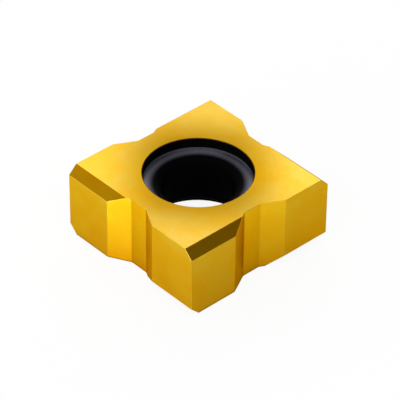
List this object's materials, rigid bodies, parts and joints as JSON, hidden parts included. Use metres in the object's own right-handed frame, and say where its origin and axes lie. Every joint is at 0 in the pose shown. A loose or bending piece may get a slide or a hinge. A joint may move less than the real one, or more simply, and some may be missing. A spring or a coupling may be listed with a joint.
{
  "type": "carbide insert",
  "caption": "Square double-sided indexable cutting insert with a flute in the middle of each side, sloped lands at the corners and a recessed screw hole.",
  "frame": {"origin": "centre of the screw hole on the lower seat face", "axes": "+Z along the screw hole, out of the upper seat face; the sides lie along X and Y"},
  "size_m": [0.0126, 0.0126, 0.0056],
  "materials": {
    "coated_carbide": "satin gold hard coating over ground carbide, bare and near black inside the screw hole"
  },
  "bodies": {
    "root": {"insert_body": "coated_carbide"}
  },
  "joints": []
}
